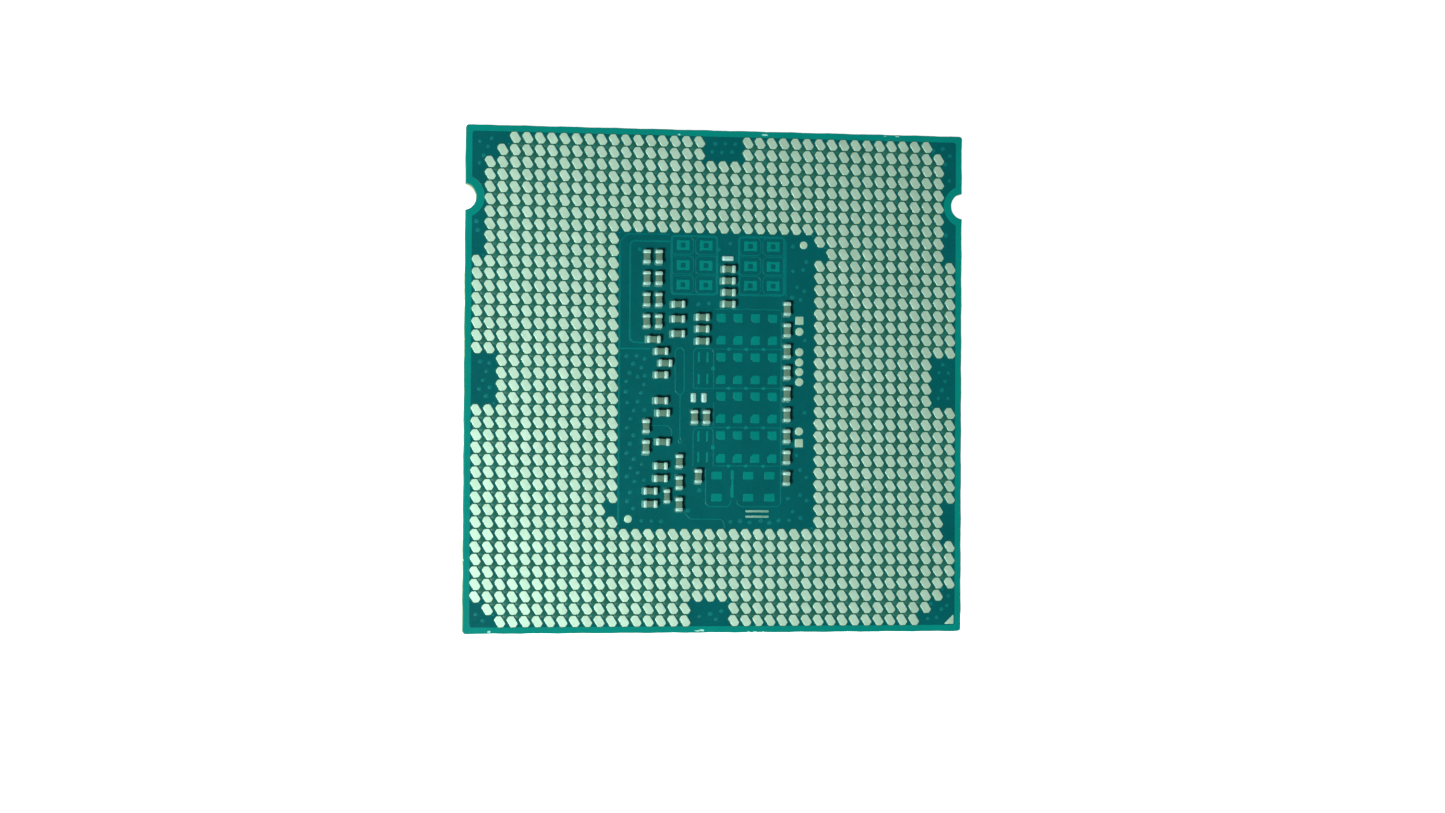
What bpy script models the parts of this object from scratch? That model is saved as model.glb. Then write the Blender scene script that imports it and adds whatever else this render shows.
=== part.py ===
"""Land-grid processor package, lying on its heat spreader with the land side up.

Metres, +Z up.  z = 0 is the outer flat face of the heat spreader; +X and +Y
run along the edges of the square package; the pin-one corner is at +X, -Y.

Stack from z = 0 upward: heat spreader (plateau, then flange), sealant bead
between the flange and the substrate, and inside the lid the thermal
interface, the silicon die, its bump layer and the underfill fillet; then the
package substrate, the land banks and pin-one marker on its top face, and the
small capacitors standing in the window in the middle of the lands.
"""

import math

import bpy

for old in list(bpy.data.objects):
    bpy.data.objects.remove(old, do_unlink=True)

MM = 0.001

# ---------------------------------------------------------------- package
PACKAGE_HALF = 18.75            # 37.5 mm square package
PACKAGE_CORNER = 0.24           # small round on the four sawn corners
NOTCH_Y = 13.40                 # keying notches in the -X and +X edges
NOTCH_RADIUS = 0.95
NOTCH_OUTSIDE = 0.14            # notch centres stand this far outside the edge
RIM = 0.50                      # rim left bare round the raised plane
RING_ROUND_NOTCH = 0.62
EDGE_BREAK = 0.04
SUBSTRATE_Z0 = 3.12
RIM_Z = 4.25
SUBSTRATE_TOP = 4.26

# ---------------------------------------------------------------- lands
LAND_PITCH = 0.9144
LAND_ROWS = 40
BANK_Z0 = 4.27
BANK_Z1 = 4.30
BANK_INSET = 0.05
# (first row, last row, first column, last column), rows counted from +Y,
# columns from -X, both from 1
WINDOW = (9, 32, 13, 28)
NO_LANDS = (
    WINDOW,
    (1, 1, 1, 3), (2, 2, 1, 2), (3, 10, 1, 1),          # -X +Y corner
    (1, 1, 39, 40), (2, 10, 40, 40),                    # +X +Y corner
    (1, 2, 20, 22), (39, 40, 19, 21),                   # middle of the +Y and -Y edges
    (19, 22, 1, 2), (19, 22, 39, 40),                   # middle of the -X and +X edges
    (10, 10, 29, 29), (31, 31, 12, 12),                 # two lands short beside the window
    (31, 33, 40, 40),
    (39, 39, 1, 1), (40, 40, 1, 2),                     # -X -Y corner
    (38, 38, 40, 40), (39, 39, 39, 40), (40, 40, 38, 40),  # pin-one corner
)
BANKS = (
    ("land_bank_north", (1, 8, 1, 40)),
    ("land_bank_south", (33, 40, 1, 40)),
    ("land_bank_west", (9, 32, 1, 12)),
    ("land_bank_east", (9, 32, 29, 40)),
)
MARKER_CORNER = 18.17           # pin-one marker, right angle toward the corner
MARKER_LEG = 0.74

# ------------------------------------------------- printed pads on the top
PAD_STEP = 0.02
ROUND_PADS = (                  # x, y, radius
    (6.25, 3.75, 0.30), (6.25, 2.22, 0.30), (6.25, 1.45, 0.30),
    (6.25, 0.73, 0.30), (6.25, -0.02, 0.30), (6.25, -3.72, 0.30),
    (6.55, 10.25, 0.28), (-6.58, -10.28, 0.28),
)
BAR_PADS = (                    # x, y, width, height
    (6.25, 4.58, 0.60, 0.60), (6.25, -4.60, 0.60, 0.60),
    (0.85, 9.17, 0.90, 0.35),
    (-1.70, -1.25, 0.40, 0.70), (-0.90, -1.25, 0.40, 0.70),
)

# ---------------------------------------------------------------- capacitors
CAP_Z0 = 4.27
CAP_LENGTH = 1.05
CAP_WIDTH = 0.55
CAP_HEIGHT = 0.50
CAP_BAND = 0.28                 # length of each end termination
CAP_STEP = 0.02                 # terminations stand this proud of the ceramic
CAP_BREAK = 0.04
NARROW_WIDTH = 0.47
# one entry per row or column: axis of the long side, x positions, y positions
CAP_GROUPS = (
    ("Y", (-5.31, -4.41), (9.16, 7.56, 5.97, 4.37)),
    ("X", (0.82,), (8.33, 7.46, 6.59, 5.72)),
    ("X", (-2.97,), (5.66, 4.57, 3.47)),
    ("X", (-1.14,), (4.72, 3.85, 2.94)),
    ("X", (-4.78,), (3.03,)),
    ("X", (-4.21,), (2.15,)),
    ("X", (-3.91,), (1.28,)),
    ("X", (-4.21,), (0.40, -1.51)),
    ("X", (-4.06,), (-2.43, -4.57)),
    ("Y", (-5.31,), (-3.41, -4.95)),
    ("X", (-4.21,), (-6.35, -7.28)),
    ("X", (-4.96,), (-8.21, -9.17)),
    ("Y narrow", (-3.73,), (-8.59,)),
    ("Y", (-2.82,), (-6.00, -7.59, -9.19)),
    ("Y", (-1.39,), (-7.10,)),
    ("Y", (-1.70, -0.80), (-2.71,)),
    ("Y", (5.26,), (5.42, 3.82, 2.24, 0.65, -0.93, -2.51, -4.10, -5.67, -7.25)),
)

# ---------------------------------------------------------------- lid side
PLATEAU_X, PLATEAU_Y, PLATEAU_CORNER = 27.0, 28.6, 1.6
PLATEAU_EDGE = 0.35             # rounded edge of the outer flat face
PLATEAU_FILLET = 0.20
FLANGE_X, FLANGE_Y, FLANGE_CORNER = 29.0, 31.0, 2.2
FLANGE_Z0, FLANGE_Z1 = 1.85, 3.00
FLANGE_EDGE = 0.12
WING_X = 16.0                   # side wings of the flange
WING_HALF_Y = 8.5
WING_CORNER = 0.9
LID_WINDOW, LID_WINDOW_CORNER = 20.0, 1.5
LID_ROOF_Z = 2.17

SEAL_Z0, SEAL_Z1 = 3.01, 3.11
SEAL_X, SEAL_Y, SEAL_CORNER = 26.6, 28.6, 2.0     # centre line of the bead
SEAL_WIDTH = 1.9
SEAL_VENT = 3.0                 # gap left in the bead, middle of the +Y side

DIE_AT = (0.6, 0.0)
DIE_X, DIE_Y = 8.4, 15.0
DIE_Z0, DIE_Z1 = 2.28, 3.03
TIM_MARGIN = 0.5
TIM_Z0, TIM_Z1 = 2.18, 2.27
BUMP_MARGIN = 0.3
BUMP_Z0, BUMP_Z1 = 3.04, 3.11
FILL_CLEAR = 0.01
FILL_FOOT = 0.90
FILL_HEAD = 0.12
FILL_Z0, FILL_Z1 = 2.62, 3.11


# ================================================================ helpers
def material(name, colour, roughness, metallic):
    mat = bpy.data.materials.new(name)
    mat.use_nodes = True
    shader = mat.node_tree.nodes["Principled BSDF"]
    shader.inputs["Base Color"].default_value = (*colour, 1.0)
    shader.inputs["Roughness"].default_value = roughness
    shader.inputs["Metallic"].default_value = metallic
    mat.diffuse_color = (*colour, 1.0)
    return mat


def mesh_object(name, verts, faces, mat, smooth_below=None):
    mesh = bpy.data.meshes.new(name)
    mesh.from_pydata([(x * MM, y * MM, z * MM) for x, y, z in verts], [], faces)
    mesh.validate()
    mesh.update()
    if mat is not None:
        mesh.materials.append(mat)
    if smooth_below is not None:
        for polygon in mesh.polygons:
            polygon.use_smooth = True
        mesh.set_sharp_from_angle(angle=math.radians(smooth_below))
    obj = bpy.data.objects.new(name, mesh)
    bpy.context.scene.collection.objects.link(obj)
    return obj


def loft(name, rings, mat, smooth_below=None):
    """Solid through rings of equal point counts, each (outline, z), counter-clockwise, z rising."""
    count = len(rings[0][0])
    verts = [(x, y, z) for outline, z in rings for x, y in outline]
    faces = [list(range(count))[::-1]]
    for level in range(len(rings) - 1):
        low, high = level * count, (level + 1) * count
        for i in range(count):
            j = (i + 1) % count
            faces.append([low + i, low + j, high + j, high + i])
    top = (len(rings) - 1) * count
    faces.append([top + i for i in range(count)])
    return mesh_object(name, verts, faces, mat, smooth_below)


def frame_solid(name, rings, mat):
    """Closed picture-frame solid: the rings run round its cross-section and meet again."""
    count = len(rings[0][0])
    verts = [(x, y, z) for outline, z in rings for x, y in outline]
    faces = []
    for level in range(len(rings)):
        low, high = level * count, ((level + 1) % len(rings)) * count
        for i in range(count):
            j = (i + 1) % count
            faces.append([low + i, low + j, high + j, high + i])
    return mesh_object(name, verts, faces, mat)


def arc(cx, cy, radius, start, end, steps):
    """Points from start to end degrees, both ends included."""
    points = []
    for k in range(steps + 1):
        angle = math.radians(start + (end - start) * k / steps)
        points.append((cx + radius * math.cos(angle), cy + radius * math.sin(angle)))
    return points


def rounded_rect(half_x, half_y, radius, steps=6, at=(0.0, 0.0)):
    points = []
    for sx, sy, start in ((1, -1, -90), (1, 1, 0), (-1, 1, 90), (-1, -1, 180)):
        points += arc(
            at[0] + sx * (half_x - radius), at[1] + sy * (half_y - radius),
            radius, start, start + 90, steps,
        )
    return points


def edge_rings(outline_at, z_flat, radius, inward, steps=3):
    """Quarter-round edge: outline_at(inset) gives the outline, z runs from z_flat by radius."""
    rings = []
    for k in range(steps + 1):
        angle = math.radians(90.0 * k / steps)
        inset = radius * (1.0 - math.sin(angle))
        z = z_flat + inward * radius * (1.0 - math.cos(angle))
        rings.append((outline_at(inset), z))
    return rings


def helper(obj):
    """A shape used only inside a Boolean."""
    obj.hide_render = True
    obj.display_type = "WIRE"
    return obj


def boolean(obj, other, operation):
    modifier = obj.modifiers.new(other.name, "BOOLEAN")
    modifier.operation = operation
    modifier.solver = "EXACT"
    modifier.object = other


# ================================================================ materials
NICKEL = material("nickel_plated_copper", (0.62, 0.61, 0.58), 0.32, 1.0)
SEALANT = material("black_silicone", (0.012, 0.012, 0.013), 0.75, 0.0)
SOLDER_TIM = material("thermal_compound", (0.45, 0.45, 0.43), 0.60, 0.3)
SILICON = material("silicon", (0.10, 0.11, 0.13), 0.12, 0.6)
BUMPS = material("solder_bumps", (0.55, 0.55, 0.54), 0.35, 1.0)
EPOXY = material("epoxy_fillet", (0.03, 0.03, 0.035), 0.40, 0.0)
SOLDER_MASK = material("green_solder_mask", (0.0, 0.12, 0.11), 0.38, 0.0)
GOLD = material("gold_plated_land", (0.62, 0.72, 0.42), 0.30, 1.0)
MARKER_GOLD = material("gold_plated_marker", (0.66, 0.74, 0.45), 0.28, 1.0)
CERAMIC = material("capacitor_ceramic", (0.17, 0.20, 0.15), 0.45, 0.0)


# ================================================================ heat spreader
def plateau_outline(grow):
    return rounded_rect(
        PLATEAU_X / 2 + grow, PLATEAU_Y / 2 + grow, PLATEAU_CORNER + grow
    )


def flange_outline(inset):
    """Rounded rectangle with a wide wing on the -X and +X sides."""
    hx, hy = FLANGE_X / 2 - inset, FLANGE_Y / 2 - inset
    wx, wy = WING_X - inset, WING_HALF_Y - inset
    r, rw = FLANGE_CORNER - inset, WING_CORNER - inset
    rc = FLANGE_EDGE + 0.40 + inset                       # inner corner where a wing starts
    points = arc(hx - r, -hy + r, r, -90, 0, 6)
    points += arc(hx + rc, -wy - rc, rc, 180, 90, 4)
    points += arc(wx - rw, -wy + rw, rw, -90, 0, 5)
    points += arc(wx - rw, wy - rw, rw, 0, 90, 5)
    points += arc(hx + rc, wy + rc, rc, 270, 180, 4)
    points += arc(hx - r, hy - r, r, 0, 90, 6)
    points += arc(-hx + r, hy - r, r, 90, 180, 6)
    points += arc(-hx - rc, wy + rc, rc, 0, -90, 4)
    points += arc(-wx + rw, wy - rw, rw, 90, 180, 5)
    points += arc(-wx + rw, -wy + rw, rw, 180, 270, 5)
    points += arc(-hx - rc, -wy - rc, rc, 90, 0, 4)
    points += arc(-hx + r, -hy + r, r, 180, 270, 6)
    return points


spreader = loft(
    "heat_spreader",
    edge_rings(flange_outline, FLANGE_Z0, FLANGE_EDGE, 1)
    + edge_rings(flange_outline, FLANGE_Z1, FLANGE_EDGE, -1)[::-1],
    NICKEL, 35,
)

plateau_rings = edge_rings(lambda inset: plateau_outline(-inset), 0.0, PLATEAU_EDGE, 1)
for step in range(4):
    turn = math.radians(30.0 * step)
    plateau_rings.append((
        plateau_outline(PLATEAU_FILLET * (1.0 - math.cos(turn))),
        FLANGE_Z0 - PLATEAU_FILLET + PLATEAU_FILLET * math.sin(turn),
    ))
plateau_rings.append((plateau_outline(PLATEAU_FILLET), FLANGE_Z0 + 0.15))
plateau = helper(loft("spreader_plateau", plateau_rings, NICKEL, 35))
boolean(spreader, plateau, "UNION")

half_window = LID_WINDOW / 2
lid_cutter = helper(loft(
    "spreader_window_cutter",
    [
        (rounded_rect(half_window - 0.25, half_window - 0.25, LID_WINDOW_CORNER - 0.25), LID_ROOF_Z),
        (rounded_rect(half_window - 0.07, half_window - 0.07, LID_WINDOW_CORNER - 0.07), LID_ROOF_Z + 0.07),
        (rounded_rect(half_window, half_window, LID_WINDOW_CORNER), LID_ROOF_Z + 0.25),
        (rounded_rect(half_window, half_window, LID_WINDOW_CORNER), FLANGE_Z1 + 0.5),
    ],
    NICKEL, 35,
))
boolean(spreader, lid_cutter, "DIFFERENCE")


# ================================================================ sealant bead
def bead_outline(inset):
    """Open loop of sealant: out along the outer side, round the end, back along the inner side."""
    w = SEAL_WIDTH / 2 - inset
    hx, hy, r = SEAL_X / 2, SEAL_Y / 2, SEAL_CORNER
    g = SEAL_VENT / 2

    def path(side):
        points = [(-g, hy + side)]
        for sx, sy, start in ((-1, 1, 90), (-1, -1, 180), (1, -1, 270), (1, 1, 360)):
            points += arc(sx * (hx - r), sy * (hy - r), r + side, start, start + 90, 6)
        points.append((g, hy + side))
        return points

    outer = path(w)
    inner = path(-w)[::-1]
    start_end = arc(-g, hy, w, -90, 90, 6)[1:-1]
    far_end = arc(g, hy, w, 90, 270, 6)[1:-1]
    return outer + far_end + inner + [(x, y) for x, y in start_end]


loft(
    "lid_sealant",
    [
        (bead_outline(0.05), SEAL_Z0),
        (bead_outline(0.0), SEAL_Z0 + 0.03),
        (bead_outline(0.0), SEAL_Z1 - 0.03),
        (bead_outline(0.05), SEAL_Z1),
    ],
    SEALANT,
)


# ================================================================ under the lid
def block(name, half_x, half_y, z0, z1, corner, mat, at=DIE_AT, edge=0.02):
    def outline(inset):
        return rounded_rect(half_x - inset, half_y - inset, corner, 2, at)

    return loft(
        name,
        [(outline(edge), z0), (outline(0.0), z0 + edge), (outline(0.0), z1 - edge), (outline(edge), z1)],
        mat,
    )


block("thermal_interface", DIE_X / 2 + TIM_MARGIN, DIE_Y / 2 + TIM_MARGIN, TIM_Z0, TIM_Z1, 0.8, SOLDER_TIM)
block("silicon_die", DIE_X / 2, DIE_Y / 2, DIE_Z0, DIE_Z1, 0.05, SILICON)
block("die_bump_layer", DIE_X / 2 - BUMP_MARGIN, DIE_Y / 2 - BUMP_MARGIN, BUMP_Z0, BUMP_Z1, 0.2, BUMPS)


def fill_outline(grow, corner):
    return rounded_rect(DIE_X / 2 + grow, DIE_Y / 2 + grow, corner, 4, DIE_AT)


frame_solid(
    "die_underfill",
    [
        (fill_outline(FILL_CLEAR, 0.05), FILL_Z1),
        (fill_outline(FILL_CLEAR, 0.05), FILL_Z0),
        (fill_outline(FILL_HEAD, 0.15), FILL_Z0),
        (fill_outline(0.32, 0.35), FILL_Z0 + 0.22),
        (fill_outline(0.58, 0.60), FILL_Z0 + 0.38),
        (fill_outline(FILL_FOOT, 0.90), FILL_Z1),
    ],
    EPOXY,
)


# ================================================================ substrate
def package_outline(inset, notch_grow, corner):
    """Square outline with a round notch in the -X and +X edges."""
    half = PACKAGE_HALF - inset
    centre = PACKAGE_HALF + NOTCH_OUTSIDE
    radius = NOTCH_RADIUS + notch_grow
    turn = math.degrees(math.acos((centre - half) / radius))
    points = arc(half - corner, -half + corner, corner, -90, 0, 4)
    points += arc(centre, NOTCH_Y, radius, 180 + turn, 180 - turn, 12)
    points += arc(half - corner, half - corner, corner, 0, 90, 4)
    points += arc(-half + corner, half - corner, corner, 90, 180, 4)
    points += arc(-centre, NOTCH_Y, radius, turn, -turn, 12)
    points += arc(-half + corner, -half + corner, corner, 180, 270, 4)
    return points


substrate = loft(
    "package_substrate",
    [
        (package_outline(EDGE_BREAK, EDGE_BREAK, PACKAGE_CORNER), SUBSTRATE_Z0),
        (package_outline(0.0, 0.0, PACKAGE_CORNER), SUBSTRATE_Z0 + EDGE_BREAK),
        (package_outline(0.0, 0.0, PACKAGE_CORNER), RIM_Z - EDGE_BREAK),
        (package_outline(EDGE_BREAK, EDGE_BREAK, PACKAGE_CORNER), RIM_Z),
        (package_outline(RIM - 0.01, RING_ROUND_NOTCH - 0.01, 0.15), RIM_Z),
        (package_outline(RIM, RING_ROUND_NOTCH, 0.15), SUBSTRATE_TOP),
    ],
    SOLDER_MASK,
)

pad_verts, pad_faces = [], []


def add_pad(outline):
    base, count = len(pad_verts), len(outline)
    for z in (SUBSTRATE_TOP - 0.10, SUBSTRATE_TOP + PAD_STEP):
        pad_verts.extend((x, y, z) for x, y in outline)
    pad_faces.append([base + i for i in range(count)][::-1])
    pad_faces.append([base + count + i for i in range(count)])
    for i in range(count):
        j = (i + 1) % count
        pad_faces.append([base + i, base + j, base + count + j, base + count + i])


for x, y, radius in ROUND_PADS:
    add_pad(arc(x, y, radius, 0, 337.5, 15))
for x, y, width, height in BAR_PADS:
    add_pad(rounded_rect(width / 2, height / 2, 0.08, 2, (x, y)))
pads = helper(mesh_object("substrate_pads", pad_verts, pad_faces, SOLDER_MASK))
boolean(substrate, pads, "UNION")

# pin-one marker: a small gold triangle in the +X -Y corner
c, leg = MARKER_CORNER, MARKER_LEG
marker = [(c - leg, -c), (c, -c), (c, -c + leg)]
loft("pin_one_marker", [(marker, BANK_Z0), (marker, BANK_Z1)], MARKER_GOLD)


# ================================================================ land banks
def has_land(row, column):
    for r0, r1, c0, c1 in NO_LANDS:
        if r0 <= row <= r1 and c0 <= column <= c1:
            return False
    return 1 <= row <= LAND_ROWS and 1 <= column <= LAND_ROWS


def bank_outline(bounds):
    """Stepped outline round every land of one bank, drawn a little inside the cell edges."""
    r0, r1, c0, c1 = bounds
    cells = {
        (row, column)
        for row in range(r0, r1 + 1)
        for column in range(c0, c1 + 1)
        if has_land(row, column)
    }
    # each cell side without a neighbour is one step of the outline, walked counter-clockwise;
    # corner (i, j) stands at column line i and row line j
    following = {}
    for row, column in cells:
        left, right, upper, lower = column - 1, column, row - 1, row
        if (row + 1, column) not in cells:
            following[(left, lower)] = (right, lower)
        if (row, column + 1) not in cells:
            following[(right, lower)] = (right, upper)
        if (row - 1, column) not in cells:
            following[(right, upper)] = (left, upper)
        if (row, column - 1) not in cells:
            following[(left, upper)] = (left, lower)
    start = min(following)
    walk, here = [], start
    while True:
        walk.append(here)
        here = following[here]
        if here == start:
            break
    corners = []
    for k, point in enumerate(walk):
        before, after = walk[k - 1], walk[(k + 1) % len(walk)]
        into = (point[0] - before[0], point[1] - before[1])
        out = (after[0] - point[0], after[1] - point[1])
        if into != out:
            corners.append((point, into, out))
    half = LAND_ROWS / 2
    outline = []
    for (i, j), into, out in corners:
        # row lines grow toward -Y, so a step (dx, dj) runs (dx, -dj) in the plan; inward is to its left
        nx = into[1] + out[1]
        ny = into[0] + out[0]
        outline.append((
            (i - half) * LAND_PITCH + nx * BANK_INSET,
            (half - j) * LAND_PITCH + ny * BANK_INSET,
        ))
    return outline


for bank_name, bank_bounds in BANKS:
    plan = bank_outline(bank_bounds)
    loft(bank_name, [(plan, BANK_Z0), (plan, BANK_Z1)], GOLD)


# ================================================================ capacitors
def capacitor(name, x, y, lengthways, width):
    """Ceramic brick with two slightly proud end terminations, long side along X or Y."""
    def section(grow):
        # chamfered cross-section, as (across, up) points
        hw, z0, z1 = width / 2 + grow, CAP_Z0 - grow, CAP_Z0 + CAP_HEIGHT + grow
        b = CAP_BREAK
        return [
            (-hw + b, z0), (hw - b, z0), (hw, z0 + b), (hw, z1 - b),
            (hw - b, z1), (-hw + b, z1), (-hw, z1 - b), (-hw, z0 + b),
        ]

    half, band, b = CAP_LENGTH / 2, CAP_BAND, CAP_BREAK
    stations = [
        (-half, -b), (-half + b, 0.0), (-half + band, 0.0), (-half + band + 0.015, -CAP_STEP),
        (half - band - 0.015, -CAP_STEP), (half - band, 0.0), (half - b, 0.0), (half, -b),
    ]
    verts = []
    for along, grow in stations:
        for across, up in section(grow):
            if lengthways == "X":
                verts.append((x + along, y + across, up))
            else:
                verts.append((x - across, y + along, up))
    faces = [list(range(8))[::-1]]
    for level in range(len(stations) - 1):
        low, high = level * 8, (level + 1) * 8
        for i in range(8):
            j = (i + 1) % 8
            faces.append([low + i, low + j, high + j, high + i])
    last = (len(stations) - 1) * 8
    faces.append([last + i for i in range(8)])
    return mesh_object(name, verts, faces, CERAMIC)


number = 0
for kind, xs, ys in CAP_GROUPS:
    across_width = NARROW_WIDTH if "narrow" in kind else CAP_WIDTH
    for cap_y in ys:
        for cap_x in xs:
            number += 1
            capacitor("land_side_capacitor_%02d" % number, cap_x, cap_y, kind[0], across_width)
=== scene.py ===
import math
import random

import bpy
from mathutils import Matrix, Vector
from mathutils.geometry import tessellate_polygon


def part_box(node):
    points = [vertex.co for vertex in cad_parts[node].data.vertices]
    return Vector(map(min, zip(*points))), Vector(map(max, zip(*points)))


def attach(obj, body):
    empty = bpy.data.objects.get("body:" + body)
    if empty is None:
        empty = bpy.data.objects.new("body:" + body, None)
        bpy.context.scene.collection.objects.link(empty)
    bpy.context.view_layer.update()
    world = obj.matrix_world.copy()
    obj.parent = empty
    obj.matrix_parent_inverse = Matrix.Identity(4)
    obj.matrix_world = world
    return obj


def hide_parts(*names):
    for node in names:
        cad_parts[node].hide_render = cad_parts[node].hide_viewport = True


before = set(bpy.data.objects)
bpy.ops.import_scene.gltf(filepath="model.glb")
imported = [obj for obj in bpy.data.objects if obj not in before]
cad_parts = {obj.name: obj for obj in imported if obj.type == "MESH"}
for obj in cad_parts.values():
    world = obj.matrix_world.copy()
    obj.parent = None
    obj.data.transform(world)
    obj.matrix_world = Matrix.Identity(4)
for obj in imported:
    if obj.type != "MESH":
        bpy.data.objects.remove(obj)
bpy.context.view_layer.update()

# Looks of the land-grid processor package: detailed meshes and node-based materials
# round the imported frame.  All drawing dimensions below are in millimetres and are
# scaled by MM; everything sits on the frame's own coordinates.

MM = 0.001
rng = random.Random(4077)

# ------------------------------------------------------------------ frame dimensions
sub_low, sub_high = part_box("package_substrate")
lid_low, lid_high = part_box("heat_spreader")
seal_low, seal_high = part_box("lid_sealant")
land_low, land_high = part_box("land_bank_north")
HALF = sub_high[0] / MM                       # 18.75
SUB_Z0 = sub_low[2] / MM                      # 3.12
LAND_TOP = land_high[2] / MM                  # 4.30
MASK_Z = LAND_TOP - 0.04                      # top of the mask over the copper plane
RIM_Z = MASK_Z - 0.01                         # top of the rim, where no copper lies under it
LID_TOP = lid_high[2] / MM                    # 3.00
PITCH = 0.9144

NOTCH_Y, NOTCH_R, NOTCH_OUT = 13.40, 0.95, 0.14

NO_LANDS = (
    (9, 32, 13, 28),
    (1, 1, 1, 3), (2, 2, 1, 2), (3, 10, 1, 1),
    (1, 1, 39, 40), (2, 10, 40, 40),
    (1, 2, 20, 22), (39, 40, 19, 21),
    (19, 22, 1, 2), (19, 22, 39, 40),
    (10, 10, 29, 29), (31, 31, 12, 12),
    (31, 33, 40, 40),
    (39, 39, 1, 1), (40, 40, 1, 2),
    (38, 38, 40, 40), (39, 39, 39, 40), (40, 40, 38, 40),
)


def has_land(row, column):
    for r0, r1, c0, c1 in NO_LANDS:
        if r0 <= row <= r1 and c0 <= column <= c1:
            return False
    return 1 <= row <= 40 and 1 <= column <= 40


def land_at(row, column):
    return ((column - 20.5) * PITCH, (20.5 - row) * PITCH)


# ================================================================== mesh builder
class Builder:
    """Collects closed lofts into one mesh with material slots."""

    def __init__(self):
        self.verts, self.faces, self.slots = [], [], []

    def loft(self, rings, slot=0, low_cap=True, high_cap=True):
        """rings: [(points2d, z)], counter-clockwise seen from +Z, z rising (or the first cap facing down)."""
        base, count = len(self.verts), len(rings[0][0])
        for outline, z in rings:
            self.verts.extend((x, y, z) for x, y in outline)
        if low_cap:
            self.face([base + i for i in range(count)][::-1], slot)
        for level in range(len(rings) - 1):
            a, b = base + level * count, base + (level + 1) * count
            for i in range(count):
                j = (i + 1) % count
                self.face([a + i, a + j, b + j, b + i], slot)
        if high_cap:
            top = base + (len(rings) - 1) * count
            self.face([top + i for i in range(count)], slot)
        return base

    def loft3(self, rings, slot=0):
        """The same with rings of 3-D points."""
        base, count = len(self.verts), len(rings[0])
        for ring in rings:
            self.verts.extend(ring)
        self.face([base + i for i in range(count)][::-1], slot)
        for level in range(len(rings) - 1):
            a, b = base + level * count, base + (level + 1) * count
            for i in range(count):
                j = (i + 1) % count
                self.face([a + i, a + j, b + j, b + i], slot)
        top = base + (len(rings) - 1) * count
        self.face([top + i for i in range(count)], slot)

    def face(self, ids, slot=0):
        self.faces.append(ids)
        self.slots.append(slot)

    def annulus(self, outer, inner, up, slot=0):
        """Flat face between two closed loops of vertex numbers."""
        loops = [[Vector(self.verts[i]) for i in outer], [Vector(self.verts[i]) for i in inner]]
        ids = list(outer) + list(inner)
        for a, b, c in tessellate_polygon(loops):
            a, b, c = ids[a], ids[b], ids[c]
            va, vb, vc = (Vector(self.verts[i]) for i in (a, b, c))
            normal = (vb - va).cross(vc - va).z
            self.face([a, b, c] if (normal > 0) == up else [a, c, b], slot)

    def build(self, name, mats, sharp=35.0):
        mesh = bpy.data.meshes.new(name)
        mesh.from_pydata([(x * MM, y * MM, z * MM) for x, y, z in self.verts], [], self.faces)
        for mat in mats:
            mesh.materials.append(mat)
        mesh.polygons.foreach_set("material_index", self.slots)
        mesh.polygons.foreach_set("use_smooth", [True] * len(self.faces))
        mesh.update()
        mesh.set_sharp_from_angle(angle=math.radians(sharp))
        obj = bpy.data.objects.new(name, mesh)
        bpy.context.scene.collection.objects.link(obj)
        return obj


def arc(cx, cy, r, a0, a1, steps):
    points = []
    for k in range(steps + 1):
        a = math.radians(a0 + (a1 - a0) * k / steps)
        points.append((cx + r * math.cos(a), cy + r * math.sin(a)))
    return points


def rounded_rect(hx, hy, r, steps=6, at=(0.0, 0.0)):
    points = []
    for sx, sy, start in ((1, -1, -90), (1, 1, 0), (-1, 1, 90), (-1, -1, 180)):
        points += arc(at[0] + sx * (hx - r), at[1] + sy * (hy - r), r, start, start + 90, steps)
    return points


def fillet_polygon(corners, radii, steps):
    """Counter-clockwise polygon with a round at each corner."""
    points, n = [], len(corners)
    for k in range(n):
        p, q, s = Vector(corners[k - 1]), Vector(corners[k]), Vector(corners[(k + 1) % n])
        u, v = (p - q).normalized(), (s - q).normalized()
        half = math.acos(max(-1.0, min(1.0, u.dot(v)))) / 2
        r = radii[k]
        centre = q + (u + v).normalized() * (r / math.sin(half))
        start = q + u * (r / math.tan(half)) - centre
        sweep = math.pi - 2 * half
        for m in range(steps + 1):
            a = sweep * m / steps
            c, d = math.cos(a), math.sin(a)
            points.append((centre.x + start.x * c - start.y * d, centre.y + start.x * d + start.y * c))
    return points


def offset(points, distance):
    """Outline moved outward by distance (inward if negative), along its vertex normals."""
    out, n = [], len(points)
    for k in range(n):
        p, q, s = points[k - 1], points[k], points[(k + 1) % n]
        e1, e2 = (q[0] - p[0], q[1] - p[1]), (s[0] - q[0], s[1] - q[1])
        l1, l2 = math.hypot(*e1) or 1e-9, math.hypot(*e2) or 1e-9
        n1, n2 = (e1[1] / l1, -e1[0] / l1), (e2[1] / l2, -e2[0] / l2)
        bx, by = n1[0] + n2[0], n1[1] + n2[1]
        lb = math.hypot(bx, by) or 1e-9
        cos_half = max(0.35, lb / 2)
        out.append((q[0] + bx / lb * distance / cos_half, q[1] + by / lb * distance / cos_half))
    return out


def moved(points, x, y):
    return [(p + x, q + y) for p, q in points]


# ================================================================== materials
def colour(r, g, b):
    """sRGB 0..255 to linear."""
    def lin(v):
        v /= 255.0
        return v / 12.92 if v <= 0.04045 else ((v + 0.055) / 1.055) ** 2.4
    return (lin(r), lin(g), lin(b), 1.0)


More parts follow.
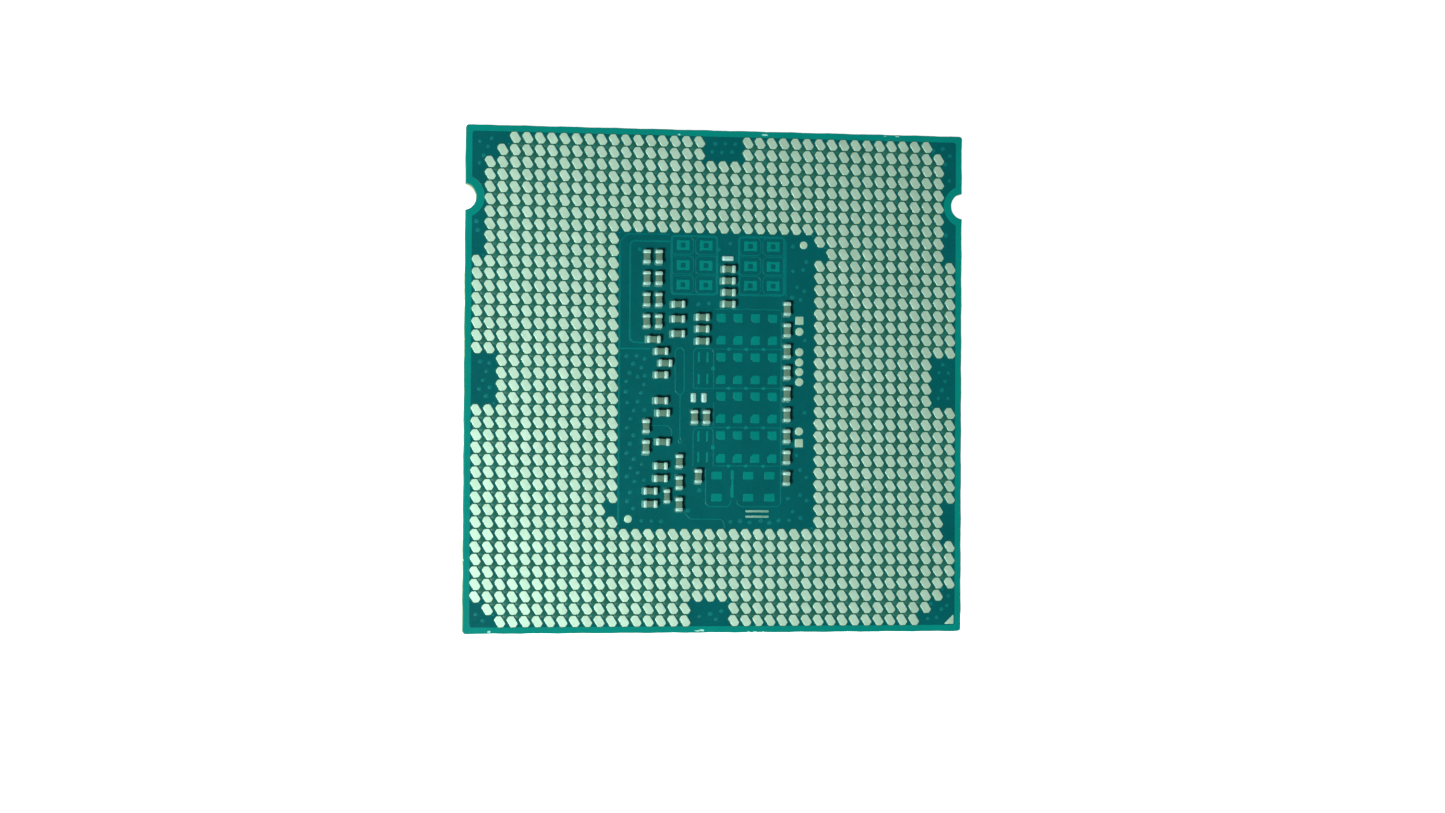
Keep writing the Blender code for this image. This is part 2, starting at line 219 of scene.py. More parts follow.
class Shader:
    """A Principled material with a few shortcuts for node work on object coordinates."""

    def __init__(self, name, **sockets):
        self.mat = bpy.data.materials.new(name)
        self.mat.use_nodes = True
        self.tree = self.mat.node_tree
        self.bsdf = self.tree.nodes["Principled BSDF"]
        for key, value in sockets.items():
            self.bsdf.inputs[key.replace("_", " ")].default_value = value
        self.coords = self.tree.nodes.new("ShaderNodeTexCoord").outputs["Object"]

    def node(self, kind, **props):
        n = self.tree.nodes.new(kind)
        for key, value in props.items():
            setattr(n, key, value)
        return n

    def link(self, a, b):
        self.tree.links.new(a, b)

    def scaled(self, sx, sy, sz):
        m = self.node("ShaderNodeMapping")
        m.inputs["Scale"].default_value = (sx, sy, sz)
        self.link(self.coords, m.inputs["Vector"])
        return m.outputs["Vector"]

    def noise(self, size_mm, detail=3.0, rough=0.5, vector=None):
        n = self.node("ShaderNodeTexNoise")
        n.inputs["Scale"].default_value = 1.0 / (size_mm * MM) if vector is None else 1.0
        n.inputs["Detail"].default_value = detail
        n.inputs["Roughness"].default_value = rough
        self.link(vector or self.coords, n.inputs["Vector"])
        return n.outputs["Fac"]

    def ramp(self, source, stops):
        n = self.node("ShaderNodeValToRGB")
        ramp = n.color_ramp
        while len(ramp.elements) < len(stops):
            ramp.elements.new(0.5)
        for index, (position, value) in enumerate(stops):
            ramp.elements[index].position = position
            ramp.elements[index].color = value if len(value) == 4 else (*value, 1.0)
        self.link(source, n.inputs["Fac"])
        return n.outputs["Color"]

    def grey(self, source, low, high, at=(0.3, 0.7)):
        n = self.node("ShaderNodeMapRange")
        n.inputs["From Min"].default_value, n.inputs["From Max"].default_value = at
        n.inputs["To Min"].default_value, n.inputs["To Max"].default_value = low, high
        self.link(source, n.inputs["Value"])
        return n.outputs["Result"]

    def rgb_mix(self, factor, a, b, blend="MIX"):
        n = self.node("ShaderNodeMix", data_type="RGBA", blend_type=blend)
        for value, socket in ((factor, n.inputs[0]), (a, n.inputs[6]), (b, n.inputs[7])):
            if isinstance(value, bpy.types.NodeSocket):
                self.link(value, socket)
            else:
                socket.default_value = value
        return n.outputs[2]

    def math(self, operation, a, b=0.0):
        n = self.node("ShaderNodeMath", operation=operation)
        for value, socket in ((a, n.inputs[0]), (b, n.inputs[1])):
            if isinstance(value, bpy.types.NodeSocket):
                self.link(value, socket)
            else:
                socket.default_value = value
        return n.outputs[0]

    def random_island(self):
        return self.node("ShaderNodeNewGeometry").outputs["Random Per Island"]

    def base(self, socket):
        self.link(socket, self.bsdf.inputs["Base Color"])

    def rough(self, socket):
        self.link(socket, self.bsdf.inputs["Roughness"])

    def bump(self, height, depth_mm, strength=1.0):
        n = self.node("ShaderNodeBump")
        n.inputs["Distance"].default_value = depth_mm * MM
        n.inputs["Strength"].default_value = strength
        self.link(height, n.inputs["Height"])
        self.link(n.outputs["Normal"], self.bsdf.inputs["Normal"])


def solder_mask(name, low, high, rough_low, rough_high, specular, weave=0.25):
    """Satin mask film: slow tone drift, fine speckle, orange peel and a faint print of the glass cloth below."""
    s = Shader(name, Specular_IOR_Level=specular)
    drift = s.noise(2.6, 3.0, 0.55)
    speckle = s.noise(0.12, 2.0, 0.6)
    tone = s.math("ADD", s.math("MULTIPLY", drift, 0.65), s.math("MULTIPLY", speckle, 0.35))
    s.base(s.ramp(tone, [(0.34, low), (0.66, high)]))
    s.rough(s.grey(s.noise(0.5, 4.0, 0.6), rough_low, rough_high))
    wave_x = s.node("ShaderNodeTexWave", wave_type="BANDS", bands_direction="X")
    wave_y = s.node("ShaderNodeTexWave", wave_type="BANDS", bands_direction="Y")
    for wave in (wave_x, wave_y):
        wave.inputs["Scale"].default_value = 1.0 / (0.55 * MM) / 6.2832 * 2.0
        wave.inputs["Distortion"].default_value = 1.2
        s.link(s.coords, wave.inputs["Vector"])
    cloth = s.math("MULTIPLY", s.math("ADD", wave_x.outputs["Fac"], wave_y.outputs["Fac"]), weave)
    peel = s.noise(0.09, 2.0, 0.5)
    s.bump(s.math("ADD", cloth, peel), 0.0035, 0.55)
    return s.mat


MASK_DARK = solder_mask("mask_over_copper", colour(0, 87, 88), colour(0, 94, 95), 0.24, 0.34, 0.14)
MASK_RIM = solder_mask("mask_over_laminate", colour(0, 130, 119), colour(0, 137, 126), 0.26, 0.36, 0.14, 0.4)
MASK_PAD = solder_mask("mask_over_pads", colour(0, 123, 115), colour(0, 132, 124), 0.24, 0.34, 0.14, 0.1)
MASK_LINE = solder_mask("mask_over_gaps", colour(0, 108, 106), colour(0, 116, 113), 0.26, 0.34, 0.14, 0.1)
MASK_VIA = solder_mask("mask_over_vias", colour(2, 107, 106), colour(12, 118, 116), 0.26, 0.34, 0.16, 0.1)
# mask round and between the lands: its warmer, greener tone is painted light bounced off the gold lands
MASK_LIP_PAINTED_BOUNCE = solder_mask("mask_between_lands_painted_bounce", colour(34, 98, 80), colour(44, 109, 91), 0.30, 0.42, 0.18, 0.1)


def laminate_side(name):
    """Cut edge of the build-up laminate: pale glass-fibre core between thin resin layers, with mask at top and bottom."""
    s = Shader(name, Specular_IOR_Level=0.35)
    sep = s.node("ShaderNodeSeparateXYZ")
    s.link(s.coords, sep.inputs["Vector"])
    wobble = s.math("MULTIPLY", s.math("SUBTRACT", s.noise(0.35, 3.0), 0.5), 0.00003)
    z = s.grey(s.math("ADD", sep.outputs["Z"], wobble), 0.0, 1.0, (SUB_Z0 * MM, RIM_Z * MM))
    mask, resin, dark, core = (
        colour(0, 118, 108), colour(98, 142, 104), colour(84, 110, 74), colour(176, 190, 138),
    )
    bands = s.ramp(z, [
        (0.0, mask), (0.028, mask), (0.034, resin), (0.12, resin), (0.128, dark), (0.14, resin),
        (0.235, resin), (0.245, core), (0.755, core), (0.765, resin), (0.86, resin), (0.872, dark),
        (0.884, resin), (0.962, resin), (0.97, mask), (1.0, mask),
    ])
    fibre = s.noise(0.0, 4.0, 0.65, s.scaled(2600.0, 2600.0, 24000.0))
    tow = s.noise(0.0, 2.0, 0.5, s.scaled(1500.0, 1500.0, 9000.0))
    streak = s.ramp(fibre, [(0.32, (0.62, 0.62, 0.58)), (0.62, (1.0, 1.0, 1.0))])
    weave = s.ramp(tow, [(0.40, (0.80, 0.80, 0.74)), (0.60, (1.0, 1.0, 1.0))])
    s.base(s.rgb_mix(0.75, s.rgb_mix(0.7, bands, streak, "MULTIPLY"), weave, "MULTIPLY"))
    s.rough(s.grey(fibre, 0.55, 0.8))
    s.bump(fibre, 0.012, 0.6)
    return s.mat


LAMINATE = laminate_side("laminate_cut_edge")


def gold(name, low, high, rough_low, rough_high, metallic):
    """Soft gold plate over nickel: tone differs from land to land, with fine grain and faint contact scuffs."""
    s = Shader(name, Metallic=metallic, Coat_Weight=0.7, Coat_Roughness=0.42, Coat_IOR=1.8)
    tint = s.random_island()
    cloud = s.noise(0.45, 3.0, 0.55)
    tone = s.math("ADD", s.math("MULTIPLY", tint, 0.55), s.math("MULTIPLY", cloud, 0.45))
    body = s.ramp(tone, [(0.18, low), (0.80, high)])
    scuff = s.noise(0.0, 3.0, 0.6, s.scaled(9000.0, 26000.0, 9000.0))
    worn = s.ramp(scuff, [(0.30, (0.88, 0.88, 0.86)), (0.46, (1.0, 1.0, 1.0))])
    s.base(s.rgb_mix(0.8, body, worn, "MULTIPLY"))
    s.rough(s.grey(s.math("ADD", s.math("MULTIPLY", cloud, 0.6), s.math("MULTIPLY", scuff, 0.4)), rough_low, rough_high))
    s.bump(s.math("ADD", s.noise(0.05, 3.0, 0.6), s.math("MULTIPLY", scuff, 0.5)), 0.0022, 0.55)
    return s.mat


GOLD = gold("gold_land_plate", colour(195, 237, 210), colour(205, 245, 220), 0.42, 0.54, 0.60)
GOLD_PAD = gold("gold_test_pad", colour(182, 224, 194), colour(194, 236, 206), 0.46, 0.58, 0.60)


def tin(name, low, high, rough_low, rough_high, metallic, grain=0.07):
    """Matt tin: bright crystals, slight dulling in the hollows, small pits."""
    s = Shader(name, Metallic=metallic)
    island = s.random_island()
    grains = s.noise(grain, 3.0, 0.65)
    tone = s.math("ADD", s.math("MULTIPLY", island, 0.4), s.math("MULTIPLY", grains, 0.6))
    s.base(s.ramp(tone, [(0.22, low), (0.70, high)]))
    s.rough(s.grey(grains, rough_low, rough_high))
    s.bump(s.math("ADD", grains, s.noise(0.02, 2.0)), 0.006, 0.6)
    return s.mat


TIN = tin("capacitor_end_tin", colour(150, 204, 190), colour(188, 232, 218), 0.42, 0.60, 0.45)
SOLDER = tin("reflowed_solder", colour(84, 158, 148), colour(124, 196, 184), 0.26, 0.42, 0.55, 0.16)
SOLDER_PAD = tin("bright_solder_lump", colour(158, 212, 202), colour(186, 234, 224), 0.38, 0.54, 0.25, 0.12)


def ceramic(name):
    """Fired capacitor ceramic: grey-green with fine speckle and a cloudy tone that differs from part to part."""
    s = Shader(name, Specular_IOR_Level=0.4)
    island = s.random_island()
    speckle = s.noise(0.035, 3.0, 0.7)
    cloud = s.noise(0.30, 2.0, 0.5)
    tone = s.math("ADD", s.math("MULTIPLY", island, 0.45), s.math("MULTIPLY", cloud, 0.55))
    body = s.ramp(tone, [(0.20, colour(68, 110, 96)), (0.75, colour(100, 140, 118))])
    dots = s.ramp(speckle, [(0.36, (0.80, 0.80, 0.80)), (0.60, (1.08, 1.08, 1.06))])
    s.base(s.rgb_mix(0.8, body, dots, "MULTIPLY"))
    s.rough(s.grey(speckle, 0.42, 0.62))
    s.bump(speckle, 0.006, 0.5)
    return s.mat


CERAMIC = ceramic("capacitor_ceramic_body")


def nickel(name):
    """Nickel-plated copper lid: satin rolled grain, faint cloudy tone, small handling scratches."""
    s = Shader(name, Metallic=1.0)
    grain = s.noise(0.0, 4.0, 0.65, s.scaled(900.0, 22000.0, 9000.0))
    cloud = s.noise(5.0, 4.0, 0.55)
    scratch = s.noise(0.0, 2.0, 0.4, s.scaled(34000.0, 700.0, 5000.0))
    tone = s.math("ADD", s.math("MULTIPLY", cloud, 0.6), s.math("MULTIPLY", grain, 0.4))
    body = s.ramp(tone, [(0.30, (0.27, 0.265, 0.25, 1.0)), (0.70, (0.42, 0.41, 0.39, 1.0))])
    line = s.ramp(scratch, [(0.66, (1.0, 1.0, 1.0)), (0.72, (0.78, 0.78, 0.78))])
    s.base(s.rgb_mix(0.7, body, line, "MULTIPLY"))
    s.rough(s.grey(tone, 0.26, 0.42))
    s.bump(s.math("ADD", grain, s.math("MULTIPLY", s.noise(0.06, 3.0), 0.6)), 0.004, 0.5)
    return s.mat


NICKEL = nickel("nickel_plated_lid")


def silicone(name):
    s = Shader(name, Specular_IOR_Level=0.35)
    lumps = s.noise(0.6, 4.0, 0.6)
    s.base(s.ramp(lumps, [(0.3, (0.010, 0.010, 0.011)), (0.7, (0.026, 0.026, 0.028))]))
    s.rough(s.grey(lumps, 0.48, 0.72))
    s.bump(s.noise(0.15, 3.0), 0.02, 0.5)
    return s.mat


SILICONE = silicone("lid_bead_silicone")


def inner(name, low, high, size, rough_low, rough_high, depth, **sockets):
    s = Shader(name, **sockets)
    pattern = s.noise(size, 4.0, 0.6)
    s.base(s.ramp(pattern, [(0.3, low), (0.7, high)]))
    s.rough(s.grey(pattern, rough_low, rough_high))
    s.bump(pattern, depth, 0.5)
    return s.mat


COMPOUND = inner("thermal_compound_grey", (0.36, 0.36, 0.34), (0.52, 0.52, 0.49), 0.7, 0.5, 0.7, 0.02)
SILICON = inner("polished_silicon", (0.075, 0.080, 0.095), (0.11, 0.115, 0.13), 4.0, 0.08, 0.16, 0.0005, Metallic=0.6)
FILLET = inner("epoxy_fillet_dark", (0.018, 0.018, 0.022), (0.040, 0.040, 0.045), 0.9, 0.25, 0.45, 0.02)
CHIPPED = inner("bare_laminate_chip", colour(120, 214, 196), colour(190, 244, 228), 0.08, 0.5, 0.75, 0.02)
INK = inner("pale_marking_ink", colour(104, 158, 140), colour(128, 178, 160), 0.10, 0.5, 0.7, 0.004)


def bump_layer(name):
    """Grid of solder balls seen from the side or end: cells of bright metal in dark resin."""
    s = Shader(name, Metallic=0.8)
    cell = s.node("ShaderNodeTexVoronoi")
    cell.inputs["Scale"].default_value = 1.0 / (0.15 * MM)
    cell.inputs["Randomness"].default_value = 0.0
    s.link(s.coords, cell.inputs["Vector"])
    s.base(s.ramp(cell.outputs["Distance"], [(0.30, (0.60, 0.60, 0.58)), (0.42, (0.05, 0.05, 0.06))]))
    s.rough(s.grey(cell.outputs["Distance"], 0.3, 0.6, (0.2, 0.5)))
    s.bump(cell.outputs["Distance"], 0.01, 0.4)
    return s.mat


BUMP_LAYER = bump_layer("solder_bump_grid")


# ================================================================== lands
# one land: a rounded hexagon leaning from upper left to lower right
LAND_CORNERS = (
    (-0.422, 0.142), (-0.088, -0.412), (0.248, -0.400),
    (0.422, -0.142), (0.088, 0.412), (-0.248, 0.400),
)
LAND_ROUNDS = (0.12, 0.12, 0.15, 0.12, 0.12, 0.15)
land_outline = fillet_polygon(LAND_CORNERS, LAND_ROUNDS, 4)
land_levels = (
    (land_outline, MASK_Z - 0.004),
    (land_outline, MASK_Z + 0.031),
    (offset(land_outline, -0.005), MASK_Z + 0.035),
    (offset(land_outline, -0.014), MASK_Z + 0.0362),
    (offset(land_outline, -0.030), MASK_Z + 0.0362),
)
# collar of mask round each land, in the lip material whose greener tint is painted bounce light from the land
lip_levels = (
    (offset(land_outline, 0.060), MASK_Z - 0.004),
    (offset(land_outline, 0.052), MASK_Z + 0.005),
    (offset(land_outline, 0.032), MASK_Z + 0.009),
)

HOLLOW = fillet_polygon(
    [(-0.235, -0.12), (-0.02, -0.25), (0.235, -0.02), (0.235, 0.12), (0.02, 0.25), (-0.235, 0.02)], [0.07] * 6, 2,
)

BANKS = (
    ("north", (1, 8, 1, 40)), ("south", (33, 40, 1, 40)),
    ("west", (9, 32, 1, 12)), ("east", (9, 32, 29, 40)),
)
for side, (r0, r1, c0, c1) in BANKS:
    lands, lips = Builder(), Builder()
    for row in range(r0, r1 + 1):
        for column in range(c0, c1 + 1):
            if has_land(row, column):
                x, y = land_at(row, column)
                lands.loft([(moved(o, x, y), z) for o, z in land_levels])
                lips.loft([(moved(o, x, y), z) for o, z in lip_levels])
                # mask between four lands, a little thinner and greener than over the open plane: the greener tint is
                # painted light bounced off the gold lands
                if has_land(row + 1, column) and has_land(row, column + 1) and has_land(row + 1, column + 1):
                    hollow = moved(HOLLOW, x + PITCH / 2, y - PITCH / 2)
                    lips.loft([(offset(hollow, 0.012), MASK_Z - 0.004), (hollow, MASK_Z + 0.003)])
    piece = lands.build("lands_" + side, [GOLD], 50)
    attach(piece, "root")
    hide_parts("land_bank_" + side)
    piece = lips.build("land_mask_lips_" + side, [MASK_LIP_PAINTED_BOUNCE], 50)
    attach(piece, "root")

# ================================================================== substrate body
def edge_wobble(t, seed):
    """Small inward wander of the sawn edge, 0 to about 0.03 mm, t in mm along the outline."""
    return 0.012 * (1 + math.sin(t * 1.9 + seed)) + 0.006 * (1 + math.sin(t * 4.7 + 2.1 * seed)) \
        + 0.003 * (1 + math.sin(t * 11.3 + 0.7 * seed))


def package_outline(inset, notch_grow, corner, wobble_seed=None, steps=8, pieces_x=120, pieces_y=(104, 16)):
    """Square outline with a round notch in the -X and +X edges; every call gives the same number of points."""
    half = HALF - inset
    centre = HALF + NOTCH_OUT
    radius = NOTCH_R + notch_grow
    turn = math.degrees(math.acos((centre - half) / radius))
    raw = arc(half - corner, -half + corner, corner, -90, 0, steps)
    raw += arc(centre, NOTCH_Y, radius, 180 + turn, 180 - turn, 28)
    raw += arc(half - corner, half - corner, corner, 0, 90, steps)
    raw += arc(-half + corner, half - corner, corner, 90, 180, steps)
    raw += arc(-centre, NOTCH_Y, radius, turn, -turn, 28)
    raw += arc(-half + corner, -half + corner, corner, 180, 270, steps)
    # straight runs get points of their own so that the edge can wander
    points = []
    for k, p in enumerate(raw):
        q = raw[(k + 1) % len(raw)]
        run_x, run_y = abs(q[0] - p[0]), abs(q[1] - p[1])
        pieces = 1
        if run_x > 5.0 and run_y < 0.01:
            pieces = pieces_x
        elif run_y > 20.0 and run_x < 0.01:
            pieces = pieces_y[0]
        elif run_y > 3.0 and run_x < 0.01:
            pieces = pieces_y[1]
        for m in range(pieces):
            points.append((p[0] + (q[0] - p[0]) * m / pieces, p[1] + (q[1] - p[1]) * m / pieces))
    if wobble_seed is None:
        return points
    out, along, n = [], 0.0, len(points)
    inward = offset(points, -1.0)
    for k, (p, q) in enumerate(zip(points, inward)):
        if k:
            along += math.hypot(p[0] - points[k - 1][0], p[1] - points[k - 1][1])
        d = edge_wobble(along, wobble_seed)
        length = math.hypot(q[0] - p[0], q[1] - p[1]) or 1.0
        out.append((p[0] + (q[0] - p[0]) / length * d, p[1] + (q[1] - p[1]) / length * d))
    return out


CORNER = 0.24
thick = RIM_Z - SUB_Z0
body = Builder()
edge_layers = []                              # (inset, z)
zs = SUB_Z0
for inset, share in (
    (0.075, 0.000), (0.050, 0.000), (0.022, 0.012), (0.014, 0.028), (0.020, 0.034), (0.006, 0.044), (0.006, 0.118),
    (0.014, 0.126), (0.014, 0.140), (0.006, 0.148), (0.006, 0.230), (0.012, 0.240), (0.000, 0.256),
    (0.000, 0.744), (0.012, 0.760), (0.006, 0.770), (0.006, 0.852), (0.014, 0.860), (0.014, 0.884),
    (0.006, 0.892), (0.006, 0.956), (0.020, 0.966), (0.014, 0.972), (0.022, 0.988), (0.050, 1.000), (0.075, 1.000),
):
    edge_layers.append((inset, zs + thick * share))
body.loft([
    (package_outline(inset, inset, CORNER, 0.6 + 0.35 * (z > SUB_Z0 + 0.5 * thick)), z)
    for inset, z in edge_layers
])
# the flat top and bottom and the mask's thickness take the mask colour, the cut edge the laminate's
slots = []
for face_ids in body.faces:
    heights = [body.verts[i][2] for i in face_ids]
    at_top = min(heights) >= zs + thick * 0.965
    at_bottom = max(heights) <= zs + thick * 0.035
    slots.append(0 if at_top or at_bottom else 1)
body.slots = slots
substrate = body.build("substrate_body", [MASK_RIM, LAMINATE], 32)
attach(substrate, "root")
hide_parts("package_substrate")

# raised copper plane under the mask, with its ring round each notch
island = Builder()
island.loft([
    (package_outline(0.500, 0.620, 0.20), RIM_Z - 0.004),
    (package_outline(0.506, 0.626, 0.20), RIM_Z + 0.003),
    (package_outline(0.520, 0.640, 0.20), MASK_Z - 0.002),
    (package_outline(0.545, 0.665, 0.20), MASK_Z),
    (package_outline(0.575, 0.695, 0.20), MASK_Z),
])
piece = island.build("copper_plane_under_mask", [MASK_DARK], 60)
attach(piece, "root")

# the same plane on the lid side
under = Builder()
under.loft([
    (package_outline(0.575, 0.695, 0.20), SUB_Z0 - 0.004),
    (package_outline(0.545, 0.665, 0.20), SUB_Z0 - 0.004),
    (package_outline(0.510, 0.630, 0.20), SUB_Z0 - 0.001),
    (package_outline(0.500, 0.620, 0.20), SUB_Z0 + 0.004),
])
piece = under.build("lid_side_plane_under_mask", [MASK_DARK], 60)
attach(piece, "root")


# ================================================================== mask relief in the window
def ribbon(builder, points, width, height, z=MASK_Z, closed=False):
    """Low raised line along a polyline, with a rounded-off top."""
    n = len(points)
    normals = []
    for k in range(n):
        p = points[k - 1] if (closed or k) else points[k]
        s = points[(k + 1) % n] if (closed or k < n - 1) else points[k]
        dx, dy = s[0] - p[0], s[1] - p[1]
        length = math.hypot(dx, dy) or 1e-9
        normals.append((-dy / length, dx / length))
    profile = ((-0.5, -0.003), (-0.34, height * 0.8), (0.0, height), (0.34, height * 0.8), (0.5, -0.003))
    base, m = len(builder.verts), len(profile)
    for (x, y), (nx, ny) in zip(points, normals):
        for across, up in profile:
            builder.verts.append((x + nx * across * width, y + ny * across * width, z + up))
    last = n if closed else n - 1
    for k in range(last):
        a, b = base + k * m, base + ((k + 1) % n) * m
        for i in range(m):
            j = (i + 1) % m
            builder.face([a + i, a + j, b + j, b + i])
    if not closed:
        builder.face([base + i for i in range(m)][::-1])
        end = base + (n - 1) * m
        builder.face([end + i for i in range(m)])


def soften(points, r, steps=4, closed=False):
    """Polyline with its corners rounded."""
    out, n = [], len(points)
    for k, q in enumerate(points):
        if not closed and k in (0, n - 1):
            out.append(q)
            continue
        p, s = points[k - 1], points[(k + 1) % n]
        u, v = Vector(p) - Vector(q), Vector(s) - Vector(q)
        reach = min(r, u.length * 0.45, v.length * 0.45)
        a, b, mid = Vector(q) + u.normalized() * reach, Vector(q) + v.normalized() * reach, Vector(q)
        for m in range(steps + 1):
            t = m / steps
            point = a * (1 - t) ** 2 + mid * 2 * t * (1 - t) + b * t ** 2
            out.append((point.x, point.y))
    return out


lines = Builder()
LINE_W, LINE_H = 0.15, 0.006


def line(points, r=0.22, closed=False, width=LINE_W):
    ribbon(lines, soften(points, r, 4, closed), width, LINE_H, MASK_Z, closed)


# outlines round the two blocks of ring pads: a grid of cells with cut corners
for dx in (0.0, 5.08):
    line([(-3.45 + dx, 6.43), (0.02 + dx, 6.43), (0.02 + dx, 10.80), (-3.45 + dx, 10.80)], 0.30, True)
    for x0, x1 in ((-3.36, -1.78), (-1.62, -0.07)):
        for y0, y1 in ((6.52, 7.84), (7.96, 9.30), (9.42, 10.71)):
            inner_side, outer_side = (x1, x0) if x1 < -1.7 else (x0, x1)
            cut = 0.20 if inner_side > outer_side else -0.20
            cell = [(outer_side, y0), (inner_side - cut, y0), (inner_side, y0 + 0.20),
                    (inner_side, y1 - 0.20), (inner_side - cut, y1), (outer_side, y1)]
            line([(p + dx, q) for p, q in cell], 0.12, True, width=0.07)
# long outline down the left of the window
line([(-3.60, 10.36), (-6.30, 10.36), (-6.52, 10.14), (-6.52, 3.06), (-6.24, 2.82), (-5.42, 2.80)], 0.26)
line([(-7.30, 9.40), (-7.30, 10.30), (-6.80, 10.86), (-3.60, 10.90)], 0.40, width=0.09)
line([(-7.30, 2.36), (-5.02, 2.36)], 0.1)
line([(-7.30, 9.40), (-7.30, -10.70)], 0.1, width=0.18)
# narrow loop and the single line that leaves it
line([(-2.74, -1.06), (-3.10, -0.82), (-3.12, 2.20), (-2.90, 2.46), (-2.62, 2.46), (-2.44, 2.20), (-2.42, -0.82), (-2.70, -1.06)], 0.24, width=0.10)
line([(-2.73, -1.06), (-2.73, -4.20), (-2.86, -4.44), (-2.73, -4.72), (-2.60, -4.44), (-2.73, -4.20)], 0.12, width=0.10)
line([(-5.02, -3.36), (-3.62, -3.36), (-3.36, -3.62), (-3.34, -4.30)], 0.2, width=0.08)
# outlines of the short bar pairs
for top, bottom in ((2.44, -0.56), (-3.50, -6.34)):
    line([(-1.74, bottom), (-1.74, top - 0.2), (-1.54, top), (-0.42, top), (-0.22, top - 0.2), (-0.22, bottom)], 0.18, width=0.10)
line([(-1.74, -0.56), (-0.22, -0.56)], 0.1, width=0.10)
line([(-0.22, -1.60), (-0.22, -3.44), (-0.42, -3.50)], 0.1, width=0.08)
# grid outlines on the right: rows of cells with small diamonds at the crossings
for y in (5.36, 2.40, -0.52, -3.46, -6.32):
    run = [(-0.20, y)]
    for x in (0.93, 2.24, 3.55):
        run += [(x - 0.22, y), (x, y + 0.10), (x + 0.22, y)]
    run += [(4.88, y)]
    line(run, 0.08, width=0.075)
    if y < 5.0:
        run = [(-0.20, y - 0.01)]
        for x in (0.93, 2.24, 3.55):
            run += [(x - 0.18, y - 0.01), (x, y - 0.13), (x + 0.18, y - 0.01)]
        run += [(4.88, y - 0.01)]
        line(run, 0.08, width=0.065)
line([(4.88, 5.20), (4.88, -9.10), (4.66, -9.36), (1.84, -9.36), (1.60, -9.12), (1.60, -8.90)], 0.22, width=0.09)
line([(-0.78, -6.50), (-0.78, -9.12), (-0.54, -9.36), (0.86, -9.36), (1.10, -9.10), (1.10, -8.92)], 0.22, width=0.10)
line([(-2.40, -9.72), (-1.95, -10.28), (0.40, -10.30), (0.62, -10.52), (0.65, -10.95)], 0.2, width=0.10)
line([(5.22, 6.40), (5.22, 10.50)], 0.1, width=0.09)
piece = lines.build("mask_relief_lines", [MASK_LINE], 70)
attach(piece, "root")

# flat pads under the mask
pads = Builder()


def mask_pad(outline, height=0.007):
    pads.loft([
        (offset(outline, 0.012), MASK_Z - 0.003),
        (outline, MASK_Z + height * 0.8),
        (offset(outline, -0.02), MASK_Z + height),
    ])


def pinched_rect(hx, hy, r, pinch, x, y):
    """Rounded rectangle whose top and bottom edges dip in at the middle."""
    points = []
    for sx, sy, start, mid in (
        (1, -1, -90, (hx, 0.0)), (1, 1, 0, (0.0, hy - pinch)),
        (-1, 1, 90, (-hx, 0.0)), (-1, -1, 180, (0.0, -hy + pinch)),
    ):
        points += arc(x + sx * (hx - r), y + sy * (hy - r), r, start, start + 90, 3)
        points.append((x + mid[0], y + mid[1]))
    return points


def ring_pad(x, y, hx, hy, hole):
    """Pad with a square opening and slightly flared corners."""
    levels = ((0.012, -0.003), (0.0, 0.006), (-0.02, 0.007))
    outer = pinched_rect(hx, hy, 0.05, 0.035, x, y)
    inner_loop = pinched_rect(hole, hole, 0.06, 0.0, x, y)
    base, n = len(pads.verts), len(outer)
    for grow, up in levels:
        pads.verts.extend((p, q, MASK_Z + up) for p, q in offset(outer, grow))
    for grow, up in reversed(levels):
        pads.verts.extend((p, q, MASK_Z + up) for p, q in offset(inner_loop, -grow))
    rings = 6
    for level in range(rings):
        a, b = base + level * n, base + ((level + 1) % rings) * n
        for i in range(n):
            j = (i + 1) % n
            pads.face([a + i, a + j, b + j, b + i])


for dx in (0.0, 5.08):
    for x in (-2.56, -0.84):
        for y in (10.10, 8.60, 7.15):
            ring_pad(x + dx, y, 0.475, 0.37, 0.19)
for row, y in enumerate((4.70, 3.05, 1.77, 0.11, -1.15, -2.80, -4.06, -5.76)):
    for x in (0.32, 1.59, 2.91, 4.21):
        hx, hy, cut = 0.335, 0.315, 0.20
        if row % 2:
            corners = [(x - hx, y - hy), (x + hx, y - hy), (x + hx, y + hy), (x - hx + cut, y + hy), (x - hx, y + hy - cut)]
        else:
            corners = [(x - hx + cut, y - hy), (x + hx, y - hy), (x + hx, y + hy), (x - hx, y + hy), (x - hx, y - hy + cut)]
        mask_pad(fillet_polygon(corners, [0.07] * 5, 3))
for x in (0.04, 2.42, 4.03):
    for y in (-7.04, -8.68):
        mask_pad(rounded_rect(0.38, 0.28, 0.05, 2, (x, y)))
mask_pad(rounded_rect(0.11, 0.34, 0.08, 3, (1.23, -6.98)))
mask_pad(rounded_rect(0.07, 0.30, 0.06, 3, (1.24, -7.62)))
mask_pad(rounded_rect(0.11, 0.40, 0.08, 3, (1.22, -8.28)))
for y0 in (1.77, 0.15, -4.12, -5.68):
    for x in (-1.34, -0.69):
        mask_pad(rounded_rect(0.07, 0.38, 0.06, 3, (x, y0)), 0.006)
for x, y in ((-0.25, 0.93), (-0.25, -4.93)):
    mask_pad(rounded_rect(0.13, 0.14, 0.05, 3, (x, y)))
for y in (2.40, -0.52, -3.46, -6.34):
    for x in (0.93, 2.24, 3.55):
        mask_pad(fillet_polygon([(x - 0.15, y), (x, y - 0.14), (x + 0.15, y), (x, y + 0.14)], [0.04] * 4, 2))
piece = pads.build("mask_covered_pads", [MASK_PAD], 70)
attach(piece, "root")

